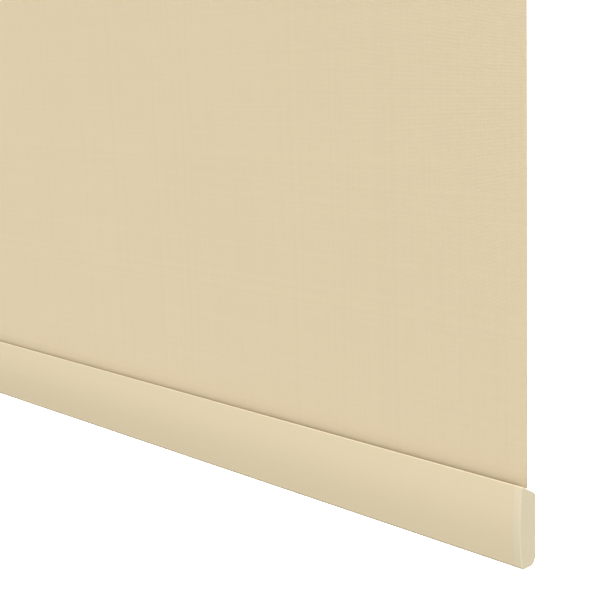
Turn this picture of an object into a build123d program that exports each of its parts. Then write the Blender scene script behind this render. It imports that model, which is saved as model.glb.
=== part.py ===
from build123d import *
from math import cos, pi, radians, sin
import os

# A cordless spring roller blind, lowered. Millimetres.
# Origin: on the wall plane, midway between the brackets, at the height of the roller's axis.
# +X to the right and -Y into the room as seen from the room, +Z up.

# Overall
WIDTH = 1000  # outer face to outer face of the bracket covers
AXIS_Y = -34  # the roller's axis, in front of the wall
TURNS = 6  # turns of the roller from lowered to raised
WINDING_R = 16.7  # mean winding radius over the travel
TRAVEL = 2 * pi * WINDING_R * TURNS
RAISED_BAR_TOP = -30  # top of the bottom bar when the blind is raised

# Modelling
RUNNING = 0.05  # radial clearance of the shafts in their bushes
LOOSE = 0.1  # clearance round the spindle's tang
OVERCUT = 1  # how far a cut runs on beyond what it cuts
NEAR = 0.01  # tolerance when edges are picked by their place

# Brackets and covers
SHEET_T = 1.8
COVER_T = 1.8
COVER_GAP = 0.2
FLANGE_W = 32
FLANGE_H = 48
FLANGE_CORNER_R = 4
NOSE_R = 17
BEND_R = 1
SCREW_R = 2.3
SCREW_SPACING = 28
SCREW_FROM_ARM = 19
COVER_LIP = 6.4
COVER_EDGE_R = 1
COVER_SIDE_GAP = 0.3
COVER_WALL = 1.2
LUG_Y = -12
LUG_L = 5
LUG_H = 2.6
LUG_T = 1.2
LUG_GAP = 0.15
LUG_INSET = 1  # the lugs' middles from the flange's ends
ARM_OUT = WIDTH / 2 - COVER_T - COVER_GAP
ARM_IN = ARM_OUT - SHEET_T

# Roller
END_FLOAT = 0.4
WASHER_T = 1
WASHER_R = 7
PLUG_FACE = ARM_IN - WASHER_T - END_FLOAT
PLUG_FLANGE_T = 2
PLUG_FLANGE_R = 15.4
PLUG_RIM_R = 0.8
TUBE_END = PLUG_FACE - PLUG_FLANGE_T
TUBE_R = 14
TUBE_BORE_R = 12.8
TAPE_T = 0.2
TAPE_W = 12
TAPE_SIDE_GAP = 2
ROLL_R = 15.8

# Shade fabric and bottom bar
FABRIC_W = 985
FABRIC_T = 0.4
FABRIC_GAP = 0.05  # between the roll and the tangent sheet
FABRIC_Y = AXIS_Y + ROLL_R + FABRIC_GAP
BAR_H = 30
BAR_T = 8.7
BAR_TOP = RAISED_BAR_TOP - TRAVEL
BAR_FRONT = FABRIC_Y - 3.6
BAR_BACK = BAR_FRONT + BAR_T
CAP_T = 3
CAP_OUT = FABRIC_W / 2
BAR_END = CAP_OUT - CAP_T
CROWN = 1.0  # how far the bar's front bulges
TOP_FALL = 4.15  # how far the bar's top falls from its front edge to its back
BACK_TOP_R = 1.8
BACK_BOTTOM_R = 3.2
FRONT_BOTTOM_R = 1.4
FRONT_TOP_R = 0.3
CAP_RIM_R = 0.4
FRONT_WALL = 1.6
# distances behind the bar's front
GROOVE_FRONT = 1.8
GROOVE_BACK = 5.2
CHANNEL_BACK = 7.2
# distances below the bar's front top edge
CHANNEL_TOP = 4.6
CHANNEL_FLOOR = 10
HOLLOW_TOP = 11.3
HOLLOW_FLOOR = 28.4
HOLLOW_R = 1
SPLINE_R = 2.25
HEM_R = 2.63
SPLINE_DROP = 7.35
SHEET_OVER_CAPS = 1.35
SHEET_IN_GROOVE = 4.5
SHEET_SIDE_GAP = 0.2  # between the sheet in the groove and the caps
HEM_SIDE_GAP = 1
TONGUE_L = 12
TONGUE_GAP = 0.15
TONGUE_R = 1.1
BALLAST_L = 930
BALLAST_T = 3.5
BALLAST_H = 14
BALLAST_Y = BAR_FRONT + FRONT_WALL + 1

# Spring end, on the left
SPINDLE_R = 3
TANG_T = 2.8
TANG_SLOT = 3.1
TANG_END = -PLUG_FACE - 0.2  # where the tang becomes the round journal
RATCHET_R = 6
RATCHET_T = 4.6
NOTCH_GAP = 0.35
CUP_R = 11.2
CUP_DEPTH = 18
CUP_WALL = 5
CUP_FLOOR = -PLUG_FACE + CUP_WALL
CUP_END = -TUBE_END + CUP_DEPTH
RATCHET_START = CUP_FLOOR + 1
LID_START = CUP_FLOOR + 10.8
LID_T = 2.4
PAWL_START = CUP_FLOOR + 1.2
PAWL_T = 4.2
PAWL_PIN_R = 1
PIN_SEAT = 3  # depth of the pins' holes in the cup's floor
PAWL_PIVOT_R = 8.6
PAWL_LENGTH = 6
PAWL_BOSS_R = 1.9
PAWL_TIP_R = 1.2
PAWL_REST = 112  # direction of a pawl's arm from its pivot, clear of the ratchet
PAWL_LOCKED = 140  # the same with its tip in the notch
MANDREL_R = 4
MANDREL_START = -472
MANDREL_END = -262
MANDREL_PIN_X = MANDREL_START + 5
MANDREL_PIN_L = 9
SPINDLE_END = -462
SHAFT_CHAMFER = 0.6
ANCHOR_START = -461
ANCHOR_T = 8
ANCHOR_R = 10
ANCHOR_RIM_R = 1.5
SPRING_R = 8
SPRING_WIRE_R = 0.8
KNUCKLE_R = 0.824  # where a leg leaves the coils
SPRING_START = -449
SPRING_PITCH = 5.5
SPRING_COILS = 29
SPRING_LEG = 9
LEG_HOLE_R = 1
SPRING_PLUG_T = 16
SPRING_PLUG_GAP = 5
CLIP_AT = MANDREL_END - 5
CLIP_R = 6.5
CLIP_T = 1.2
CLIP_MOUTH = 3.4
CLIP_GROOVE_R = 3.2

# Idle end, on the right
PIN_R = 2.5
PIN_COLLAR_R = 4.6
PIN_TAIL_R = 2.1
BUSH_R = 4.2
CHAMBER_R = 5.2
CHAMBER_END = 488
IDLE_PLUG_START = 462
SEAT_T = 7.6
SEAT_SLOT_W = 1.2
SEAT_SLOT_L = 8.4
SEAT_SLOT_DEPTH = 2
COLLAR_T = 3.6
COLLAR_GAP = 0.2
COLLAR_END = CHAMBER_END - COLLAR_GAP
TAIL_L = 6.2
PIN_TIP_GAP = 0.2
PIN_SPRING_R = 3.5
PIN_SPRING_WIRE_R = 0.35
PIN_SPRING_END_R = 0.4  # the closed coil at each end
PIN_SPRING_COILS = 7

os.makedirs("parts", exist_ok=True)


def across(x):
    """The plane at X = x that faces +X, centred on the wall plane. Its own axes are Y and Z."""
    return Plane.YZ.offset(x)


def on_axis(x):
    """The plane at X = x that faces +X, centred on the roller's axis."""
    return Plane(origin=(x, AXIS_Y, 0), x_dir=(0, 1, 0), z_dir=(1, 0, 0))


def turned(start, end, radius, bore=0, mode=Mode.ADD):
    """A round length on the roller's axis, from X = start to X = end."""
    with BuildSketch(on_axis(start)) as section:
        Circle(radius)
        if bore:
            Circle(bore, mode=Mode.SUBTRACT)
    extrude(section.sketch, amount=end - start, mode=mode)


def bored(start, end, radius):
    """A round hole on the roller's axis, from X = start to X = end."""
    turned(start, end, radius, mode=Mode.SUBTRACT)


def save(piece, label):
    piece.part.label = label
    export_step(piece.part, f"parts/{label}.step")


# ---------------------------------------------------------------- brackets


def arm_outline(grow):
    """Side view of a bracket's arm: square at the wall, round about the roller's axis."""
    with BuildSketch(across(0)) as outline:
        with Locations((AXIS_Y, 0)):
            Circle(NOSE_R + grow)
        with Locations((0, 0)):
            Rectangle(SHEET_T, FLANGE_H + 2 * grow, align=(Align.MAX, Align.CENTER))
        make_hull()
    return outline.sketch


def bracket(side):
    """Bent steel bracket: an arm beside the roller and a flange on the wall, behind the roller."""
    with BuildPart() as plate:
        extrude(arm_outline(0).moved(Location((side * ARM_IN, 0, 0))), amount=side * SHEET_T)
        with BuildSketch(Plane.XZ):
            with Locations((side * ARM_OUT, 0)):
                Rectangle(
                    FLANGE_W,
                    FLANGE_H,
                    align=(Align.MAX if side > 0 else Align.MIN, Align.CENTER),
                )
        extrude(amount=SHEET_T)
        inside_bend = plate.edges().filter_by(Axis.Z).filter_by_position(
            Axis.Y, -SHEET_T - NEAR, -SHEET_T + NEAR
        )
        fillet(inside_bend.sort_by(Axis.X)[-1 if side > 0 else 0], BEND_R)
        outside_bend = plate.edges().filter_by(Axis.Z).sort_by(Axis.X)
        fillet(outside_bend[-1 if side > 0 else 0], BEND_R)
        flange_corners = plate.edges().filter_by(Axis.Y).sort_by(Axis.X)
        fillet(flange_corners[:2] if side > 0 else flange_corners[-2:], FLANGE_CORNER_R)
        with Locations(Plane.XZ):
            with Locations((side * (ARM_OUT - SCREW_FROM_ARM), 0)):
                with GridLocations(0, SCREW_SPACING, 1, 2):
                    Hole(SCREW_R, depth=SHEET_T * 3)
        if side > 0:
            bored(ARM_IN - OVERCUT, ARM_OUT + OVERCUT, BUSH_R)
        else:
            # the slot is open at the top, so that the tang drops in and can't turn
            with BuildSketch(across(-ARM_OUT - OVERCUT)):
                with Locations((AXIS_Y, -SPINDLE_R - LOOSE)):
                    Rectangle(TANG_SLOT, 2 * NOSE_R, align=(Align.CENTER, Align.MIN))
            extrude(amount=SHEET_T + 2 * OVERCUT, mode=Mode.SUBTRACT)
    return plate


def bracket_cover(side):
    """Plastic cover over a bracket's arm, open towards the wall, with two lugs behind the arm."""
    with BuildPart() as shell:
        outer = arm_outline(COVER_SIDE_GAP + COVER_WALL)
        inner = arm_outline(COVER_SIDE_GAP)
        face = side * WIDTH / 2
        extrude(outer.moved(Location((face, 0, 0))), amount=-side * COVER_LIP)
        # the face's edge is rounded before the shell is hollowed
        rim = shell.faces().sort_by(Axis.X)[-1 if side > 0 else 0].edges()
        fillet(rim.filter_by_position(Axis.Y, -WIDTH, -COVER_EDGE_R / 2), COVER_EDGE_R)
        inside_face = face - side * COVER_T
        extrude(
            inner.moved(Location((inside_face, 0, 0))),
            amount=-side * COVER_LIP,
            mode=Mode.SUBTRACT,
        )
        for end in (-1, 1):
            with BuildSketch(across(side * (ARM_IN - LUG_GAP))):
                with Locations((LUG_Y, end * (FLANGE_H / 2 - LUG_INSET))):
                    Rectangle(LUG_L, LUG_H)
            extrude(amount=-side * LUG_T)
    return shell


for side_name, side in (("left", -1), ("right", 1)):
    save(bracket(side), f"bracket_{side_name}")
    save(bracket_cover(side), f"bracket_cover_{side_name}")

# nylon washer on the tang, between the left bracket and the roller
with BuildPart() as thrust_washer:
    turned(-ARM_IN, -ARM_IN + WASHER_T, WASHER_R, SPINDLE_R + LOOSE)
save(thrust_washer, "thrust_washer")

# flanged nylon bush in the right bracket, in which the idle pin turns
with BuildPart() as bracket_bush:
    turned(ARM_IN - WASHER_T, ARM_IN, WASHER_R)
    turned(ARM_IN, ARM_OUT, BUSH_R)
    bored(ARM_IN - WASHER_T, ARM_OUT, PIN_R + RUNNING)
save(bracket_bush, "bracket_bush")

# ---------------------------------------------------------------- roller

with BuildPart() as roller_tube:
    turned(-TUBE_END, TUBE_END, TUBE_R, TUBE_BORE_R)
save(roller_tube, "roller_tube")

# adhesive tape that fixes the fabric's top edge, on the front of the tube
with BuildPart() as fixing_tape:
    tape_end = FABRIC_W / 2 - TAPE_SIDE_GAP
    turned(-tape_end, tape_end, TUBE_R + TAPE_T, TUBE_R)
    with Locations((0, AXIS_Y - TUBE_R, 0)):
        Box(2 * tape_end, TUBE_R, TAPE_W, mode=Mode.INTERSECT)
save(fixing_tape, "fixing_tape")

# the turns that stay on the tube when the blind is lowered
with BuildPart() as fabric_roll:
    turned(-FABRIC_W / 2, FABRIC_W / 2, ROLL_R, TUBE_R + TAPE_T)
save(fabric_roll, "fabric_roll")

# ---------------------------------------------------------------- spring end


def pawl_outline(direction, grow):
    """A pawl's outline when its arm points along direction, in degrees, from its pivot."""
    tip_y = PAWL_PIVOT_R + PAWL_LENGTH * cos(radians(direction))
    tip_z = PAWL_LENGTH * sin(radians(direction))
    with BuildSketch() as outline:
        with Locations((PAWL_PIVOT_R, 0)):
            Circle(PAWL_BOSS_R + grow)
        with Locations((tip_y, tip_z)):
            Circle(PAWL_TIP_R + grow)
        make_hull()
    return outline.sketch


# steel spindle: a flat tang that the left bracket holds, then a round journal
with BuildPart() as spindle:
    turned(-ARM_OUT + LOOSE, TANG_END, SPINDLE_R)
    with Locations((-ARM_OUT, AXIS_Y, 0)):
        Box(2 * (TANG_END + ARM_OUT), TANG_T, 2 * SPINDLE_R, mode=Mode.INTERSECT)
    turned(TANG_END, SPINDLE_END, SPINDLE_R)
    with Locations((MANDREL_PIN_X, AXIS_Y, 0)):
        Hole(PAWL_PIN_R, depth=2 * MANDREL_R)
save(spindle, "spindle")

# ratchet wheel, fixed on the spindle, with a notch for each pawl
with BuildPart() as ratchet_wheel:
    with BuildSketch(on_axis(RATCHET_START)):
        Circle(RATCHET_R)
        for half_turn in (0, 180):
            for swing in range(PAWL_REST, PAWL_LOCKED + 1, 4):
                notch = pawl_outline(swing, NOTCH_GAP)
                add(notch.rotate(Axis.Z, half_turn), mode=Mode.SUBTRACT)
        Circle(SPINDLE_R, mode=Mode.SUBTRACT)
    extrude(amount=RATCHET_T)
save(ratchet_wheel, "ratchet_wheel")

# plastic cup in the tube's left end, which turns on the spindle and carries the pawls
with BuildPart() as spring_end_housing:
    turned(-PLUG_FACE, -TUBE_END, PLUG_FLANGE_R)
    turned(-TUBE_END, CUP_END, TUBE_BORE_R)
    fillet(spring_end_housing.edges().group_by(Axis.X)[0], PLUG_RIM_R)
    bored(CUP_FLOOR, CUP_END, CUP_R)
    bored(-PLUG_FACE, CUP_FLOOR, SPINDLE_R + RUNNING)
    with BuildSketch(on_axis(CUP_FLOOR)):
        with PolarLocations(PAWL_PIVOT_R, 2):
            Circle(PAWL_PIN_R)
    extrude(amount=-PIN_SEAT, mode=Mode.SUBTRACT)
save(spring_end_housing, "spring_end_housing")

# lid that closes the pawl chamber and carries the pins' inner ends
with BuildPart() as housing_lid:
    turned(LID_START, LID_START + LID_T, CUP_R, SPINDLE_R + RUNNING)
    with BuildSketch(on_axis(LID_START)):
        with PolarLocations(PAWL_PIVOT_R, 2):
            Circle(PAWL_PIN_R)
    extrude(amount=LID_T, mode=Mode.SUBTRACT)
save(housing_lid, "housing_lid")

with BuildPart() as pawl_pins:
    with BuildSketch(on_axis(CUP_FLOOR - PIN_SEAT)):
        with PolarLocations(PAWL_PIVOT_R, 2):
            Circle(PAWL_PIN_R)
    extrude(amount=LID_START + LID_T - CUP_FLOOR + PIN_SEAT)
save(pawl_pins, "pawl_pins")

for pawl_name, half_turn in (("pawl_a", 0), ("pawl_b", 180)):
    with BuildPart() as pawl:
        with BuildSketch(on_axis(PAWL_START)):
            add(pawl_outline(PAWL_REST, 0).rotate(Axis.Z, half_turn))
            with PolarLocations(PAWL_PIVOT_R, 1, start_angle=half_turn):
                Circle(PAWL_PIN_R + RUNNING, mode=Mode.SUBTRACT)
        extrude(amount=PAWL_T)
    save(pawl, pawl_name)

# steel mandrel inside the spring, pinned to the spindle
with BuildPart() as mandrel:
    turned(MANDREL_START, MANDREL_END, MANDREL_R)
    chamfer(mandrel.edges().group_by(Axis.X)[-1], SHAFT_CHAMFER)
    bored(MANDREL_START, SPINDLE_END, SPINDLE_R)
    with BuildSketch(on_axis(CLIP_AT)):
        Circle(MANDREL_R + OVERCUT)
        Circle(CLIP_GROOVE_R, mode=Mode.SUBTRACT)
    extrude(amount=CLIP_T, mode=Mode.SUBTRACT)
    with Locations((MANDREL_PIN_X, AXIS_Y, 0)):
        Hole(PAWL_PIN_R, depth=2 * MANDREL_R)
save(mandrel, "mandrel")

with BuildPart() as mandrel_pin:
    with Locations((MANDREL_PIN_X, AXIS_Y, 0)):
        Cylinder(PAWL_PIN_R, MANDREL_PIN_L)
save(mandrel_pin, "mandrel_pin")

# spring clip in the mandrel's groove, which stops the spring plug
with BuildPart() as mandrel_clip:
    turned(CLIP_AT, CLIP_AT + CLIP_T, CLIP_R, CLIP_GROOVE_R)
    with Locations((CLIP_AT, AXIS_Y, -CLIP_R)):
        Box(4 * CLIP_T, CLIP_MOUTH, 2 * CLIP_R, mode=Mode.SUBTRACT)
save(mandrel_clip, "mandrel_clip")

SPRING_LENGTH = SPRING_PITCH * SPRING_COILS
SPRING_END = SPRING_START + SPRING_LENGTH
PLUG_START = SPRING_END + SPRING_PLUG_GAP

# collar fixed on the mandrel that holds the spring's still end
with BuildPart() as spring_anchor:
    turned(ANCHOR_START, ANCHOR_START + ANCHOR_T, ANCHOR_R, MANDREL_R)
    far_rims = spring_anchor.edges().filter_by(GeomType.CIRCLE).group_by(Axis.X)[-1]
    fillet(far_rims.sort_by(SortBy.RADIUS)[-1], ANCHOR_RIM_R)
    with BuildSketch(on_axis(ANCHOR_START)):
        with Locations((0, SPRING_R)):
            Circle(LEG_HOLE_R)
    extrude(amount=ANCHOR_T, mode=Mode.SUBTRACT)
save(spring_anchor, "spring_anchor")


def coiled(start, length, turns, radius, wire_r):
    """Adds a helical wire on the roller's axis and returns its centre line."""
    centre_line = Helix(length / turns, length, radius, (start, AXIS_Y, 0), (1, 0, 0))
    with BuildSketch(Plane(origin=centre_line @ 0, z_dir=centre_line % 0)) as wire:
        Circle(wire_r)
    sweep(wire.sketch, path=centre_line, is_frenet=True)
    return centre_line


# torsion spring: open coils between two straight legs along the axis
with BuildPart() as torsion_spring:
    coils = coiled(SPRING_START, SPRING_LENGTH, SPRING_COILS, SPRING_R, SPRING_WIRE_R)
    for leg_start, leg_way in ((coils @ 0, -1), (coils @ 1, 1)):
        with Locations(leg_start):
            Sphere(KNUCKLE_R)
        with BuildSketch(Plane(origin=leg_start, x_dir=(0, 1, 0), z_dir=(leg_way, 0, 0))) as leg:
            Circle(SPRING_WIRE_R)
        extrude(leg.sketch, amount=SPRING_LEG)
save(torsion_spring, "torsion_spring")

# plug fixed in the tube that holds the spring's turning end and runs on the mandrel
with BuildPart() as spring_plug:
    turned(PLUG_START, PLUG_START + SPRING_PLUG_T, TUBE_BORE_R, MANDREL_R + RUNNING)
    with BuildSketch(on_axis(PLUG_START)):
        with Locations((0, SPRING_R)):
            Circle(LEG_HOLE_R)
    extrude(amount=SPRING_LEG, mode=Mode.SUBTRACT)
save(spring_plug, "spring_plug")

# ---------------------------------------------------------------- idle end

with BuildPart() as idle_plug:
    turned(TUBE_END, PLUG_FACE, PLUG_FLANGE_R)
    turned(IDLE_PLUG_START, TUBE_END, TUBE_BORE_R)
    fillet(idle_plug.edges().group_by(Axis.X)[-1], PLUG_RIM_R)
    bored(IDLE_PLUG_START, CHAMBER_END, CHAMBER_R)
    bored(CHAMBER_END, PLUG_FACE, BUSH_R)
save(idle_plug, "idle_plug")

with BuildPart() as idle_bush:
    turned(CHAMBER_END, PLUG_FACE, BUSH_R, PIN_R + RUNNING)
save(idle_bush, "idle_bush")

# spring-loaded pin: tip in the bracket's bush, collar and tail in the plug's chamber
with BuildPart() as idle_pin:
    turned(COLLAR_END, ARM_OUT - PIN_TIP_GAP, PIN_R)
    chamfer(idle_pin.edges().group_by(Axis.X)[-1], SHAFT_CHAMFER)
    turned(COLLAR_END - COLLAR_T, COLLAR_END, PIN_COLLAR_R)
    turned(COLLAR_END - COLLAR_T - TAIL_L, COLLAR_END - COLLAR_T, PIN_TAIL_R)
save(idle_pin, "idle_pin")

SEAT_END = IDLE_PLUG_START + SEAT_T
PIN_SPRING_START = SEAT_END + PIN_SPRING_END_R
PIN_SPRING_LENGTH = COLLAR_END - COLLAR_T - PIN_SPRING_END_R - PIN_SPRING_START

# compression spring behind the pin's collar, with a closed coil at each end
with BuildPart() as idle_spring:
    coiled(PIN_SPRING_START, PIN_SPRING_LENGTH, PIN_SPRING_COILS, PIN_SPRING_R, PIN_SPRING_WIRE_R)
    for coil_at in (PIN_SPRING_START, PIN_SPRING_START + PIN_SPRING_LENGTH):
        with Locations(Location((coil_at, AXIS_Y, 0), (0, 90, 0))):
            Torus(PIN_SPRING_R, PIN_SPRING_END_R)
save(idle_spring, "idle_spring")

# screwed-in plug that closes the chamber and seats the spring
with BuildPart() as idle_spring_seat:
    turned(IDLE_PLUG_START, SEAT_END, CHAMBER_R)
    with BuildSketch(on_axis(IDLE_PLUG_START)):
        Rectangle(SEAT_SLOT_W, SEAT_SLOT_L)
    extrude(amount=SEAT_SLOT_DEPTH, mode=Mode.SUBTRACT)
save(idle_spring_seat, "idle_spring_seat")

# ---------------------------------------------------------------- shade fabric and bottom bar


def hanging(width, top, bottom):
    """A length of the hanging sheet, from Z = bottom to Z = top."""
    with BuildSketch(Plane.XY.offset(bottom)) as section:
        with Locations((0, FABRIC_Y)):
            Rectangle(width, FABRIC_T, align=(Align.CENTER, Align.MIN))
    extrude(section.sketch, amount=top - bottom)


# the sheet passes over the caps, and only its length between them enters the groove
with BuildPart() as shade_fabric:
    hanging(FABRIC_W, 0, BAR_TOP - SHEET_OVER_CAPS)
    hanging(2 * (BAR_END - SHEET_SIDE_GAP), BAR_TOP - SHEET_OVER_CAPS, BAR_TOP - SHEET_IN_GROOVE)
save(shade_fabric, "shade_fabric")


def bar_stock(start, length):
    """Adds a length of the bar: a crowned front, a flat back and a top that falls backwards."""
    bottom = BAR_TOP - BAR_H
    with BuildSketch(across(start)) as section:
        with BuildLine():
            front = ThreePointArc(
                (BAR_FRONT + CROWN, bottom),
                (BAR_FRONT, BAR_TOP - BAR_H / 2),
                (BAR_FRONT + CROWN, BAR_TOP),
            )
            Polyline(front @ 1, (BAR_BACK, BAR_TOP - TOP_FALL), (BAR_BACK, bottom), front @ 0)
        make_face()
    stock = extrude(section.sketch, amount=length)
    corners = stock.edges().filter_by(Axis.X)
    front_bottom, front_top = corners.group_by(Axis.Y)[0].sort_by(Axis.Z)
    back_bottom, back_top = corners.group_by(Axis.Y)[-1].sort_by(Axis.Z)
    fillet(back_bottom, BACK_BOTTOM_R)
    fillet(back_top, BACK_TOP_R)
    fillet(front_bottom, FRONT_BOTTOM_R)
    fillet(front_top, FRONT_TOP_R)


def between(y_start, y_end, top, bottom, radius=0):
    """A rectangle in a section of the bar, by distances behind its front and below its top edge."""
    width = y_end - y_start
    with Locations((BAR_FRONT + y_start, BAR_TOP - top)):
        if radius:
            RectangleRounded(width, bottom - top, radius, align=(Align.MIN, Align.MAX))
        else:
            Rectangle(width, bottom - top, align=(Align.MIN, Align.MAX))


# aluminium extrusion: a channel for the hem, with a groove into it from the top, and a hollow below
with BuildPart() as bottom_bar:
    bar_stock(-BAR_END, 2 * BAR_END)
    with BuildSketch(across(-BAR_END)) as hollows:
        between(GROOVE_FRONT, GROOVE_BACK, -OVERCUT, CHANNEL_TOP + OVERCUT)
        between(FRONT_WALL, CHANNEL_BACK, CHANNEL_TOP, CHANNEL_FLOOR, HOLLOW_R)
        between(FRONT_WALL, CHANNEL_BACK, HOLLOW_TOP, HOLLOW_FLOOR, HOLLOW_R)
    extrude(hollows.sketch, amount=2 * BAR_END, mode=Mode.SUBTRACT)
save(bottom_bar, "bottom_bar")


def bar_cap(side):
    """Plastic end cap: a plate of the bar's section with a tongue in the bar's hollow."""
    with BuildPart() as cap:
        bar_stock(side * BAR_END, side * CAP_T)
        outer_rim = cap.faces().sort_by(Axis.X)[-1 if side > 0 else 0].edges()
        fillet(outer_rim, CAP_RIM_R)
        with BuildSketch(across(side * BAR_END)) as tongue:
            between(
                FRONT_WALL + TONGUE_GAP,
                CHANNEL_BACK - TONGUE_GAP,
                HOLLOW_TOP + TONGUE_GAP,
                HOLLOW_FLOOR - TONGUE_GAP,
                TONGUE_R,
            )
        extrude(tongue.sketch, amount=-side * TONGUE_L)
    return cap


for side_name, side in (("left", -1), ("right", 1)):
    save(bar_cap(side), f"bar_cap_{side_name}")

HEM_Y = BAR_FRONT + (FRONT_WALL + CHANNEL_BACK) / 2


def along_bar(y, z, radius, bore=0):
    """A round length inside the bar's channel."""
    with BuildSketch(across(-BAR_END + HEM_SIDE_GAP)) as section:
        with Locations((y, z)):
            Circle(radius)
            if bore:
                Circle(bore, mode=Mode.SUBTRACT)
    extrude(section.sketch, amount=2 * (BAR_END - HEM_SIDE_GAP))


# plastic spline in the hem, and the hem's fabric around it
with BuildPart() as hem_spline:
    along_bar(HEM_Y, BAR_TOP - SPLINE_DROP, SPLINE_R)
save(hem_spline, "hem_spline")

with BuildPart() as hem_fabric:
    along_bar(HEM_Y, BAR_TOP - SPLINE_DROP, HEM_R, SPLINE_R)
save(hem_fabric, "hem_fabric")

# flat steel strip that keeps the fabric taut
with BuildPart() as ballast_strip:
    with Locations((0, BALLAST_Y, BAR_TOP - HOLLOW_FLOOR)):
        Box(BALLAST_L, BALLAST_T, BALLAST_H, align=(Align.CENTER, Align.MIN, Align.MIN))
save(ballast_strip, "ballast_strip")
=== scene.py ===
import math

import bpy
from mathutils import Matrix, Vector


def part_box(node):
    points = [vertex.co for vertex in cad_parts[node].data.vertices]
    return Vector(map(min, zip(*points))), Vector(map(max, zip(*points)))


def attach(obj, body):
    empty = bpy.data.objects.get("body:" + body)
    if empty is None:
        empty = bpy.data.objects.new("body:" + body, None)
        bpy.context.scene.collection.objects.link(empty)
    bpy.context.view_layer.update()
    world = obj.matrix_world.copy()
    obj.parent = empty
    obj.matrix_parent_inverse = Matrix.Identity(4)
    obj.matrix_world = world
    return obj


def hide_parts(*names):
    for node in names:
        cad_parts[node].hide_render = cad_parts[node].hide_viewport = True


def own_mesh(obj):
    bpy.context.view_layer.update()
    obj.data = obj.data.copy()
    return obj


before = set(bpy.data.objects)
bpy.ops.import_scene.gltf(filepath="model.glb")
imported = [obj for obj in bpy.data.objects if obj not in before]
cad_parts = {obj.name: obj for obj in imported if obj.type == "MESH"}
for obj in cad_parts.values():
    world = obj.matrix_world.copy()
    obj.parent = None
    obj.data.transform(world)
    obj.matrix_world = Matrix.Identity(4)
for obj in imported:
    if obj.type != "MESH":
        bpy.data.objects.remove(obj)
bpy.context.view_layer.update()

# Everything is in metres, in the part's own frame: +X right along the roller, -Y into the room, +Z up.

# ---------------------------------------------------------------- sizes read from the frame

roll_lo, roll_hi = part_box("fabric_roll")
sheet_lo, sheet_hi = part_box("shade_fabric")
hem_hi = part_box("hem_fabric")[1]
bar_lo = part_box("bottom_bar")[0]
cap_lo, cap_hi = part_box("bar_cap_right")
spline_lo, spline_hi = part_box("hem_spline")
tape_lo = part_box("fixing_tape")[0]
coil_lo, coil_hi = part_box("idle_spring")

AXIS_Y = (roll_lo.y + roll_hi.y) / 2
AXIS_Z = (roll_lo.z + roll_hi.z) / 2
FABRIC_W = sheet_hi.x - sheet_lo.x
FABRIC_T = sheet_hi.y - sheet_lo.y
FABRIC_Y = (sheet_lo.y + sheet_hi.y) / 2
BAR_H = 0.030
BAR_TOP = bar_lo.z + BAR_H  # its front top edge
OVER_CAPS = BAR_TOP - 0.00135  # the sheet's lower end, which just clears the end caps

# ---------------------------------------------------------------- colours, linear

FABRIC_COLOUR = (0.745, 0.617, 0.407)
BAR_COLOUR = (0.736, 0.625, 0.420)
CAP_COLOUR = (0.748, 0.655, 0.462)
STEEL_COLOUR = (0.56, 0.57, 0.58)
ALUMINIUM_COLOUR = (0.72, 0.73, 0.74)
PLUG_COLOUR = (0.80, 0.78, 0.72)
NYLON_COLOUR = (0.84, 0.82, 0.76)
SPRING_COLOUR = (0.30, 0.30, 0.31)
BRASS_COLOUR = (0.72, 0.54, 0.27)
TAPE_COLOUR = (0.80, 0.80, 0.77)

THREAD = 0.00045  # spacing of the weave's threads
CRIMP = 0.55  # a thread's height where it dips under the next, as a share of its crest
SHADE_ABOVE_BAR = 0.345  # how much darker the painted shade makes the cloth just above the bar, where the bar's lip shades it
SHADE_ABOVE_BAR_LOW = 0.0003  # full strength this far below the bar's front top edge
SHADE_ABOVE_BAR_FADE = 0.0019  # height over which it fades

# ---------------------------------------------------------------- what the pieces and materials share

SHARP = math.radians(50)  # edges sharper than this are not smoothed


def smooth_mesh(name, vertices, faces, material):
    """A mesh that is shaded smooth except across its sharp edges."""
    mesh = bpy.data.meshes.new(name)
    mesh.from_pydata(vertices, [], faces)
    mesh.shade_smooth()
    mesh.set_sharp_from_angle(angle=SHARP)
    mesh.materials.append(material)
    return mesh


def in_scene(name, data):
    """A new object in the scene, made from a mesh, a light or a camera."""
    made = bpy.data.objects.new(name, data)
    bpy.context.scene.collection.objects.link(made)
    return made


class Nodes:
    """A node tree under construction, with short calls for its nodes and links."""

    def __init__(self, tree):
        self.tree = tree

    def node(self, kind, **settings):
        made = self.tree.nodes.new(kind)
        for key, value in settings.items():
            setattr(made, key, value)
        return made

    def link(self, source, target):
        self.tree.links.new(source, target)

    def put(self, value, socket):
        """Links value if it is another node's output, or sets it if it is a number."""
        if isinstance(value, bpy.types.NodeSocket):
            self.link(value, socket)
        else:
            socket.default_value = value

    def math(self, operation, *values, clamp=False):
        made = self.node("ShaderNodeMath", operation=operation, use_clamp=clamp)
        for socket, value in zip(made.inputs, values):
            self.put(value, socket)
        return made.outputs[0]

    def split(self, vector):
        """The X, Y and Z of a vector, as sockets."""
        made = self.node("ShaderNodeSeparateXYZ")
        self.link(vector, made.inputs[0])
        return made.outputs


# ---------------------------------------------------------------- materials


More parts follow.
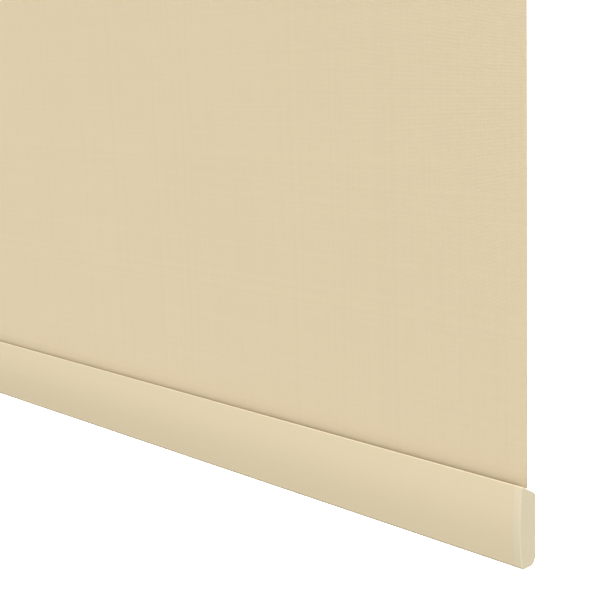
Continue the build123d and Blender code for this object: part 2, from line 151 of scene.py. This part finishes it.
class Shader(Nodes):
    """A material under construction, with the nodes that the materials below share."""

    def __init__(self, name):
        self.material = bpy.data.materials.new(name)
        self.material.use_nodes = True
        super().__init__(self.material.node_tree)
        self.bsdf = self.tree.nodes["Principled BSDF"]

    def remap(self, value, low, high):
        """Takes 0..1 to low..high."""
        return self.math("MULTIPLY_ADD", value, high - low, low)

    def near_one(self, value, spread):
        """Takes 0..1 to 1 - spread..1 + spread."""
        return self.remap(value, 1 - spread, 1 + spread)

    def place(self, uv=False):
        """The point's place in metres, along the surface if uv is set."""
        coordinates = self.node("ShaderNodeTexCoord")
        return coordinates.outputs["UV" if uv else "Object"]

    def stretched(self, place, scale):
        """The place scaled along each axis, so that a pattern is drawn out where the scale is small."""
        mapping = self.node("ShaderNodeMapping")
        self.link(place, mapping.inputs["Vector"])
        mapping.inputs["Scale"].default_value = scale
        return mapping.outputs["Vector"]

    def noise(self, place, scale, detail=2.0):
        made = self.node("ShaderNodeTexNoise")
        self.link(place, made.inputs["Vector"])
        made.inputs["Scale"].default_value = scale
        made.inputs["Detail"].default_value = detail
        return made.outputs["Fac"]

    def shaded(self, colour, factor):
        """The colour times a factor that varies over the surface."""
        made = self.node("ShaderNodeVectorMath", operation="SCALE")
        made.inputs[0].default_value = colour
        self.put(factor, made.inputs["Scale"])
        return made.outputs[0]

    def bump(self, height, distance, strength=1.0):
        made = self.node("ShaderNodeBump")
        self.link(height, made.inputs["Height"])
        made.inputs["Distance"].default_value = distance
        made.inputs["Strength"].default_value = strength
        self.link(made.outputs["Normal"], self.bsdf.inputs["Normal"])

    def set(self, **sockets):
        for name, value in sockets.items():
            self.put(value, self.bsdf.inputs[name.replace("_", " ")])


def woven(name, uv=False):
    """Fine plain weave: each cell of the grid is a short float of a warp or a weft thread.

    Unless it is laid along the surface, it has a soft dark line of painted shade where the cloth enters
    the bar.
    """
    s = Shader(name)
    place = s.place(uv)
    at = s.split(place)
    across_warp = s.math("DIVIDE", at["X"], THREAD)
    across_weft = s.math("DIVIDE", at["Y" if uv else "Z"], THREAD)
    warp_wave = s.math("SINE", s.math("MULTIPLY", across_warp, math.pi))
    weft_wave = s.math("SINE", s.math("MULTIPLY", across_weft, math.pi))
    warp_round = s.math("ABSOLUTE", warp_wave)
    weft_round = s.math("ABSOLUTE", weft_wave)
    warp_float = s.math("MULTIPLY", warp_round, s.remap(weft_round, CRIMP, 1.0))
    weft_float = s.math("MULTIPLY", weft_round, s.remap(warp_round, CRIMP, 1.0))
    warp_on_top = s.math("GREATER_THAN", s.math("MULTIPLY", warp_wave, weft_wave), 0.0)
    pick = s.node("ShaderNodeMix")
    s.link(warp_on_top, pick.inputs["Factor"])
    s.link(weft_float, pick.inputs["A"])
    s.link(warp_float, pick.inputs["B"])
    height = pick.outputs["Result"]

    # each thread is a little lighter or darker than its neighbours
    tones = []
    for position in (across_warp, across_weft):
        thread = s.node("ShaderNodeTexWhiteNoise", noise_dimensions="1D")
        s.link(s.math("FLOOR", position), thread.inputs["W"])
        tones.append(s.near_one(thread.outputs["Value"], 0.008))
    yarn = s.math("MULTIPLY", *tones)
    cloud = s.near_one(s.noise(place, scale=14.0, detail=3.0), 0.01)
    # painted shade: the dips between the threads are darker and the crests a little lighter
    painted_weave_shade = s.remap(height, low=0.95, high=1.03)
    shade = s.math("MULTIPLY", s.math("MULTIPLY", yarn, cloud), painted_weave_shade)
    # painted shade: a soft dark line on the cloth just above the bar, where the bar's lip shades it
    if not uv:
        above_bar = s.math("SUBTRACT", at["Z"], BAR_TOP - SHADE_ABOVE_BAR_LOW)
        height_up = s.math("MAXIMUM", above_bar, 0.0)
        painted_shade_fading = s.math("EXPONENT", s.math("DIVIDE", height_up, -SHADE_ABOVE_BAR_FADE))
        shade = s.math("MULTIPLY", shade, s.remap(painted_shade_fading, 1.0, 1.0 - SHADE_ABOVE_BAR))
    s.link(s.shaded(FABRIC_COLOUR, shade), s.bsdf.inputs["Base Color"])
    s.bump(height, distance=0.00006, strength=0.6)
    s.set(Roughness=0.85, Specular_IOR_Level=0.25, Sheen_Weight=0.12, Sheen_Roughness=0.5)
    return s.material


def powder_coat(name, colour):
    """Satin powder coat on an extrusion: faint orange peel and faint die lines along X."""
    s = Shader(name)
    place = s.place()
    peel = s.noise(place, scale=1400.0)
    die_lines = s.noise(s.stretched(place, (2.0, 900.0, 900.0)), scale=1.0)
    tone = s.math("MULTIPLY", s.near_one(peel, 0.01), s.near_one(die_lines, 0.015))
    s.link(s.shaded(colour, tone), s.bsdf.inputs["Base Color"])
    relief = s.math("ADD", peel, s.math("MULTIPLY", die_lines, 0.5))
    s.bump(relief, distance=0.00002, strength=0.5)
    s.set(Roughness=s.remap(s.noise(place, scale=60.0), low=0.40, high=0.48), Specular_IOR_Level=0.45)
    return s.material


def moulded(name, colour, roughness):
    """Injection-moulded plastic with a fine spark-eroded grain."""
    s = Shader(name)
    place = s.place()
    grain = s.noise(place, scale=3800.0, detail=3.0)
    flow = s.noise(place, scale=45.0)
    tone = s.math("MULTIPLY", s.near_one(flow, 0.015), s.near_one(grain, 0.015))
    s.link(s.shaded(colour, tone), s.bsdf.inputs["Base Color"])
    s.bump(grain, distance=0.00002, strength=0.5)
    s.set(Roughness=s.remap(grain, roughness - 0.05, roughness + 0.05), Specular_IOR_Level=0.5)
    return s.material


def metal(name, colour, roughness, drawn=(1.0, 1.0, 1.0), grain=900.0):
    """Bare or plated metal; drawn stretches the grain along the direction with the small number."""
    s = Shader(name)
    place = s.place()
    lines = s.noise(s.stretched(place, drawn), scale=grain, detail=3.0)
    patches = s.noise(place, scale=120.0, detail=3.0)
    tone = s.math("MULTIPLY", s.near_one(lines, 0.06), s.near_one(patches, 0.05))
    s.link(s.shaded(colour, tone), s.bsdf.inputs["Base Color"])
    s.bump(lines, distance=0.00001, strength=0.4)
    s.set(Roughness=s.remap(lines, roughness - 0.07, roughness + 0.07), Metallic=1.0)
    return s.material


def film(name, colour):
    """Glossy adhesive film with a slight ripple."""
    s = Shader(name)
    place = s.place()
    ripple = s.noise(place, scale=260.0)
    s.link(s.shaded(colour, s.near_one(ripple, 0.03)), s.bsdf.inputs["Base Color"])
    s.bump(ripple, distance=0.00003, strength=0.4)
    s.set(Roughness=0.25)
    return s.material


flat_weave = woven("flat_weave")
rolled_weave = woven("rolled_weave", uv=True)
along_x = (0.04, 1.0, 1.0)
round_x = (1.0, 0.1, 0.1)
spring_wire = metal("spring_wire", SPRING_COLOUR, roughness=0.34, grain=2500.0)
turned_brass = metal("turned_brass", BRASS_COLOUR, roughness=0.25, drawn=round_x, grain=2500.0)
FINISHES = {
    powder_coat("bar_coat", BAR_COLOUR): ["bottom_bar"],
    moulded("cap_plastic", CAP_COLOUR, roughness=0.45): ["bar_cap_left", "bar_cap_right"],
    moulded("cover_plastic", CAP_COLOUR, roughness=0.4): ["bracket_cover_left", "bracket_cover_right"],
    metal("zinc_plate", STEEL_COLOUR, roughness=0.38): ["bracket_left", "bracket_right"],
    metal("mill_aluminium", ALUMINIUM_COLOUR, roughness=0.32, drawn=along_x): ["roller_tube"],
    moulded("acetal", PLUG_COLOUR, roughness=0.38): [
        "spring_end_housing",
        "housing_lid",
        "spring_plug",
        "spring_anchor",
        "idle_plug",
        "idle_spring_seat",
        "hem_spline",
    ],
    moulded("nylon", NYLON_COLOUR, roughness=0.35): ["thrust_washer", "bracket_bush"],
    metal("drawn_steel", STEEL_COLOUR, roughness=0.30, drawn=along_x): [
        "spindle",
        "mandrel",
        "mandrel_pin",
        "ratchet_wheel",
        "pawl_pins",
        "pawl_a",
        "pawl_b",
        "idle_pin",
    ],
    spring_wire: ["torsion_spring", "mandrel_clip"],
    turned_brass: ["idle_bush"],
    metal("rolled_strip", SPRING_COLOUR, roughness=0.45, drawn=along_x): ["ballast_strip"],
    film("tape_film", TAPE_COLOUR): ["fixing_tape"],
}
for material, names in FINISHES.items():
    for name in names:
        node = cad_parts[name]
        node.data.materials.clear()
        node.data.materials.append(material)

# ---------------------------------------------------------------- cloth pieces


def strip(name, path, half_width, material, columns=1, ripple=None):
    """A closed sheet of fabric, FABRIC_T thick and from -half_width to half_width along X.

    path holds the (y, z) points of its middle line. ripple(x, along) moves that line along its normal.
    """
    count = len(path)
    along = [0.0]
    for a, b in zip(path, path[1:]):
        along.append(along[-1] + math.dist(a, b))
    normals = []
    for i in range(count):
        before, after = path[max(i - 1, 0)], path[min(i + 1, count - 1)]
        length = math.dist(before, after)
        normals.append(((after[1] - before[1]) / length, -(after[0] - before[0]) / length))
    vertices, places = [], []
    for side in (-FABRIC_T / 2, FABRIC_T / 2):
        for column in range(columns + 1):
            x = half_width * (2 * column / columns - 1)
            for (y, z), (ny, nz), distance in zip(path, normals, along):
                push = side + (ripple(x, distance) if ripple else 0.0)
                vertices.append((x, y + ny * push, z + nz * push))
                places.append((x, distance))
    layer = (columns + 1) * count
    faces = []
    for column in range(columns):
        for row in range(count - 1):
            at = column * count + row
            broad = [at, at + count, at + count + 1, at + 1]
            faces.append(broad)
            faces.append([index + layer for index in reversed(broad)])
        for row, flip in ((0, False), (count - 1, True)):
            at = column * count + row
            end = [at, at + layer, at + layer + count, at + count]
            faces.append(end[::-1] if flip else end)
    for column, flip in ((0, False), (columns, True)):
        for row in range(count - 1):
            at = column * count + row
            edge = [at, at + 1, at + 1 + layer, at + layer]
            faces.append(edge[::-1] if flip else edge)
    mesh = smooth_mesh(name, vertices, faces, material)
    uv = mesh.uv_layers.new(name="UVMap")
    for loop in mesh.loops:
        uv.data[loop.index].uv = places[loop.vertex_index]
    piece = in_scene(name, mesh)
    return piece


HANG_ROWS = 90
HANG_COLUMNS = 130
WAVE = 0.00015  # how far the hanging cloth waves out of its plane
# share of WAVE, radians to a metre across and to a metre down, phase
RIPPLES = ((1.0, 17.0, 4.0, 0.0), (0.6, 29.0, -9.0, 1.3))
EDGE_CURL = 0.0003  # how far its side edges curl towards the wall
CURL_WIDTH = 0.018
DROP = AXIS_Z - OVER_CAPS


def hanging_ripple(x, along):
    """Faint waves that die out at the roll and at the bar, and side edges that curl back slightly."""
    free = math.sin(math.pi * along / DROP) ** 0.5 if 0 < along < DROP else 0.0
    wave = sum(
        share * math.sin(across * x + down * along + phase) for share, across, down, phase in RIPPLES
    )
    curl = math.exp((abs(x) - FABRIC_W / 2) / CURL_WIDTH)
    return -free * (WAVE * wave * (1 - curl) + EDGE_CURL * curl)


def hanging_piece():
    """The sheet from the roll's tangent line down to the end caps' tops."""
    path = [(FABRIC_Y, AXIS_Z - DROP * row / HANG_ROWS) for row in range(HANG_ROWS + 1)]
    piece = strip("hanging_fabric", path, FABRIC_W / 2, flat_weave, HANG_COLUMNS, hanging_ripple)
    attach(piece, "mount")
    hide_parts("shade_fabric")
    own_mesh(piece)
    return piece


LAYER = 0.00042  # from one turn to the next
ROLL_STEP = math.radians(5)
TAPE_GAP = 0.6 * FABRIC_T  # from the tape's face to the middle of the innermost turn


def rolled_piece():
    """The turns on the tube: a spiral from the tangent line over the top, inwards to the tape."""
    outer = FABRIC_Y - AXIS_Y
    inner = AXIS_Y - tape_lo.y + TAPE_GAP
    path = []
    for step in range(round((outer - inner) / LAYER * 2 * math.pi / ROLL_STEP) + 1):
        angle = step * ROLL_STEP
        radius = outer - LAYER * angle / (2 * math.pi)
        path.append((AXIS_Y + radius * math.cos(angle), AXIS_Z + radius * math.sin(angle)))
    piece = strip("rolled_fabric", path, FABRIC_W / 2, rolled_weave)
    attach(piece, "roller")
    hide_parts("fabric_roll")
    return piece, path


HEM_STEP = math.radians(8)
HEM_CLOSED = math.radians(300)  # how far the hem goes round the spline
HEM_GAP = 0.55 * FABRIC_T  # from the spline to the middle of the hem
HEM_DOWN_STEPS = 6  # from the bar's top to the spline


def hem_piece():
    """The sheet's last stretch in the groove, then round the spline."""
    y, z = (spline_lo.y + spline_hi.y) / 2, (spline_lo.z + spline_hi.z) / 2
    radius = (spline_hi.z - spline_lo.z) / 2 + HEM_GAP
    start = math.acos((FABRIC_Y - y) / radius)
    join = z + radius * math.sin(start)
    down = join - OVER_CAPS
    path = [(FABRIC_Y, OVER_CAPS + down * step / HEM_DOWN_STEPS) for step in range(HEM_DOWN_STEPS)]
    for step in range(round(HEM_CLOSED / HEM_STEP) + 1):
        angle = start + step * HEM_STEP
        path.append((y + radius * math.cos(angle), z + radius * math.sin(angle)))
    piece = strip("hem_fabric_loop", path, hem_hi.x, flat_weave)
    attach(piece, "bar")
    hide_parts("hem_fabric")
    return piece, path


hanging = hanging_piece()
rolled, spiral = rolled_piece()
hem, loop = hem_piece()

# ---------------------------------------------------------------- the idle pin's spring

COIL_WIRE_R = 0.00035
COIL_CLOSED = 2.1 * COIL_WIRE_R  # rise of a closed turn
COIL_R = (coil_hi.y - coil_lo.y) / 2 - 1.2 * COIL_WIRE_R  # to the wire's centre
COIL_TURNS = 9  # the first and the last are closed
COIL_RINGS = 24  # rings of points to a turn
COIL_SIDES = 10


def coil_centre(turn):
    """The wire's centre after a number of turns: closed coils at the ends, open ones between."""
    length = coil_hi.x - coil_lo.x - 2 * COIL_WIRE_R
    if turn < 1:
        x = COIL_CLOSED * turn
    elif turn > COIL_TURNS - 1:
        x = length - COIL_CLOSED * (COIL_TURNS - turn)
    else:
        x = COIL_CLOSED + (length - 2 * COIL_CLOSED) * (turn - 1) / (COIL_TURNS - 2)
    angle = 2 * math.pi * turn
    y, z = AXIS_Y + COIL_R * math.cos(angle), AXIS_Z + COIL_R * math.sin(angle)
    return Vector((coil_lo.x + COIL_WIRE_R + x, y, z))


def coil_piece():
    """The compression spring behind the idle pin, which shortens as the pin is pushed in."""
    vertices, faces = [], []
    rings = COIL_TURNS * COIL_RINGS + 1
    for ring in range(rings):
        centre = coil_centre(ring / COIL_RINGS)
        outwards = Vector((0, centre.y - AXIS_Y, centre.z - AXIS_Z)).normalized()
        for side in range(COIL_SIDES):
            angle = 2 * math.pi * side / COIL_SIDES
            offset = outwards * math.cos(angle) + Vector((1, 0, 0)) * math.sin(angle)
            vertices.append(centre + COIL_WIRE_R * offset)
    for ring in range(rings - 1):
        for side in range(COIL_SIDES):
            a, b = ring * COIL_SIDES + side, ring * COIL_SIDES + (side + 1) % COIL_SIDES
            faces.append([a, a + COIL_SIDES, b + COIL_SIDES, b])
    faces.append(list(range(COIL_SIDES)))
    faces.append([len(vertices) - 1 - side for side in range(COIL_SIDES)])
    piece = in_scene("idle_pin_coil", smooth_mesh("idle_pin_coil", vertices, faces, spring_wire))
    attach(piece, "roller")
    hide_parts("idle_spring")
    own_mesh(piece)


coil_piece()

# ---------------------------------------------------------------- stage, light, camera

FLOOR_Z = BAR_TOP - 1.35
FLOOR_R = 0.8
FLOOR_SIDES = 120
FLOOR_COLOUR = (0.66, 0.66, 0.66)


def floor():
    """A round pale floor, far enough below the blind to stay outside the main view."""
    mesh = bpy.data.meshes.new("floor")
    angles = [2 * math.pi * side / FLOOR_SIDES for side in range(FLOOR_SIDES)]
    rim = [(FLOOR_R * math.cos(a), FLOOR_R * math.sin(a), FLOOR_Z) for a in angles]
    mesh.from_pydata(rim, [], [range(FLOOR_SIDES)])
    s = Shader("floor_paint")
    mottle = s.noise(s.place(), scale=6.0)
    s.link(s.shaded(FLOOR_COLOUR, s.near_one(mottle, 0.005)), s.bsdf.inputs["Base Color"])
    s.set(Roughness=0.9)
    mesh.materials.append(s.material)
    in_scene("floor", mesh)


KEY_AZIMUTH = 45  # degrees to the right of the front
KEY_ELEVATION = 20
SKY = 0.57  # even light from the whole upper half
KEY = 2.26  # added towards the key direction
UNDER = 0.02  # light from below
HORIZON = 10.0  # how sharply the sky ends at the horizon, where it is at half strength
SEEN = 3.0  # how bright the surround looks to the camera


def pointing(azimuth, elevation):
    """The direction azimuth degrees to the right of the front and elevation degrees up."""
    a, e = math.radians(azimuth), math.radians(elevation)
    return Vector((math.sin(a) * math.cos(e), -math.cos(a) * math.cos(e), math.sin(e)))


def studio():
    """A white surround whose upper half lights the blind, more strongly from the right of the front."""
    world = bpy.data.worlds.new("studio")
    world.use_nodes = True
    n = Nodes(world.node_tree)
    direction = n.node("ShaderNodeTexCoord").outputs["Generated"]
    towards_key = n.node("ShaderNodeVectorMath", operation="DOT_PRODUCT")
    n.link(direction, towards_key.inputs[0])
    towards_key.inputs[1].default_value = pointing(KEY_AZIMUTH, KEY_ELEVATION)
    key = n.math("MULTIPLY", n.math("MAXIMUM", towards_key.outputs["Value"], 0.0), KEY)
    upper = n.math("MULTIPLY_ADD", n.split(direction)["Z"], HORIZON, 0.5, clamp=True)
    lighting = n.math("MULTIPLY_ADD", n.math("ADD", key, SKY), upper, UNDER)
    seen = n.node("ShaderNodeLightPath").outputs["Is Camera Ray"]
    background = n.tree.nodes["Background"]
    background.inputs["Color"].default_value = (1.0, 1.0, 1.0, 1.0)
    n.link(n.math("MAXIMUM", n.math("MULTIPLY", seen, SEEN), lighting), background.inputs["Strength"])
    bpy.context.scene.world = world


def soft_light(name, azimuth, elevation, spread, strength):
    """Light from a direction, spread wide."""
    light = bpy.data.lights.new(name, "SUN")
    light.angle = math.radians(spread)
    light.energy = strength
    lamp = in_scene(name, light)
    lamp.rotation_mode = "QUATERNION"
    lamp.rotation_quaternion = pointing(azimuth, elevation).to_track_quat("Z", "Y")


# The view is from the right and a little above the bar, towards the lower right corner.
CAMERA_FROM_CORNER = Vector((0.25430, -0.32933, 0.14474))
CAMERA_TURN = 47.637  # degrees, left of the +Y direction
CAMERA_DOWN = 9.414
CAMERA_ROLL = -1.807
CAMERA_LENS = 76.06  # mm
CAMERA_SHIFT = -0.05


def camera():
    lens = bpy.data.cameras.new("camera")
    lens.sensor_width = 36.0
    lens.lens = CAMERA_LENS
    lens.shift_y = CAMERA_SHIFT
    lens.clip_start = 0.01
    lens.clip_end = 200.0
    view = in_scene("camera", lens)
    turn = Matrix.Rotation(math.radians(CAMERA_TURN), 4, "Z")
    tilt = Matrix.Rotation(math.radians(90 - CAMERA_DOWN), 4, "X")
    roll = Matrix.Rotation(math.radians(CAMERA_ROLL), 4, "Z")
    corner = Vector((cap_hi.x, cap_lo.y, BAR_TOP))
    view.matrix_world = Matrix.Translation(corner + CAMERA_FROM_CORNER) @ turn @ tilt @ roll
    bpy.context.scene.camera = view
    bpy.context.scene.view_settings.view_transform = "Standard"


floor()
studio()
soft_light("back_fill", azimuth=215, elevation=15, spread=60, strength=1.0)
camera()
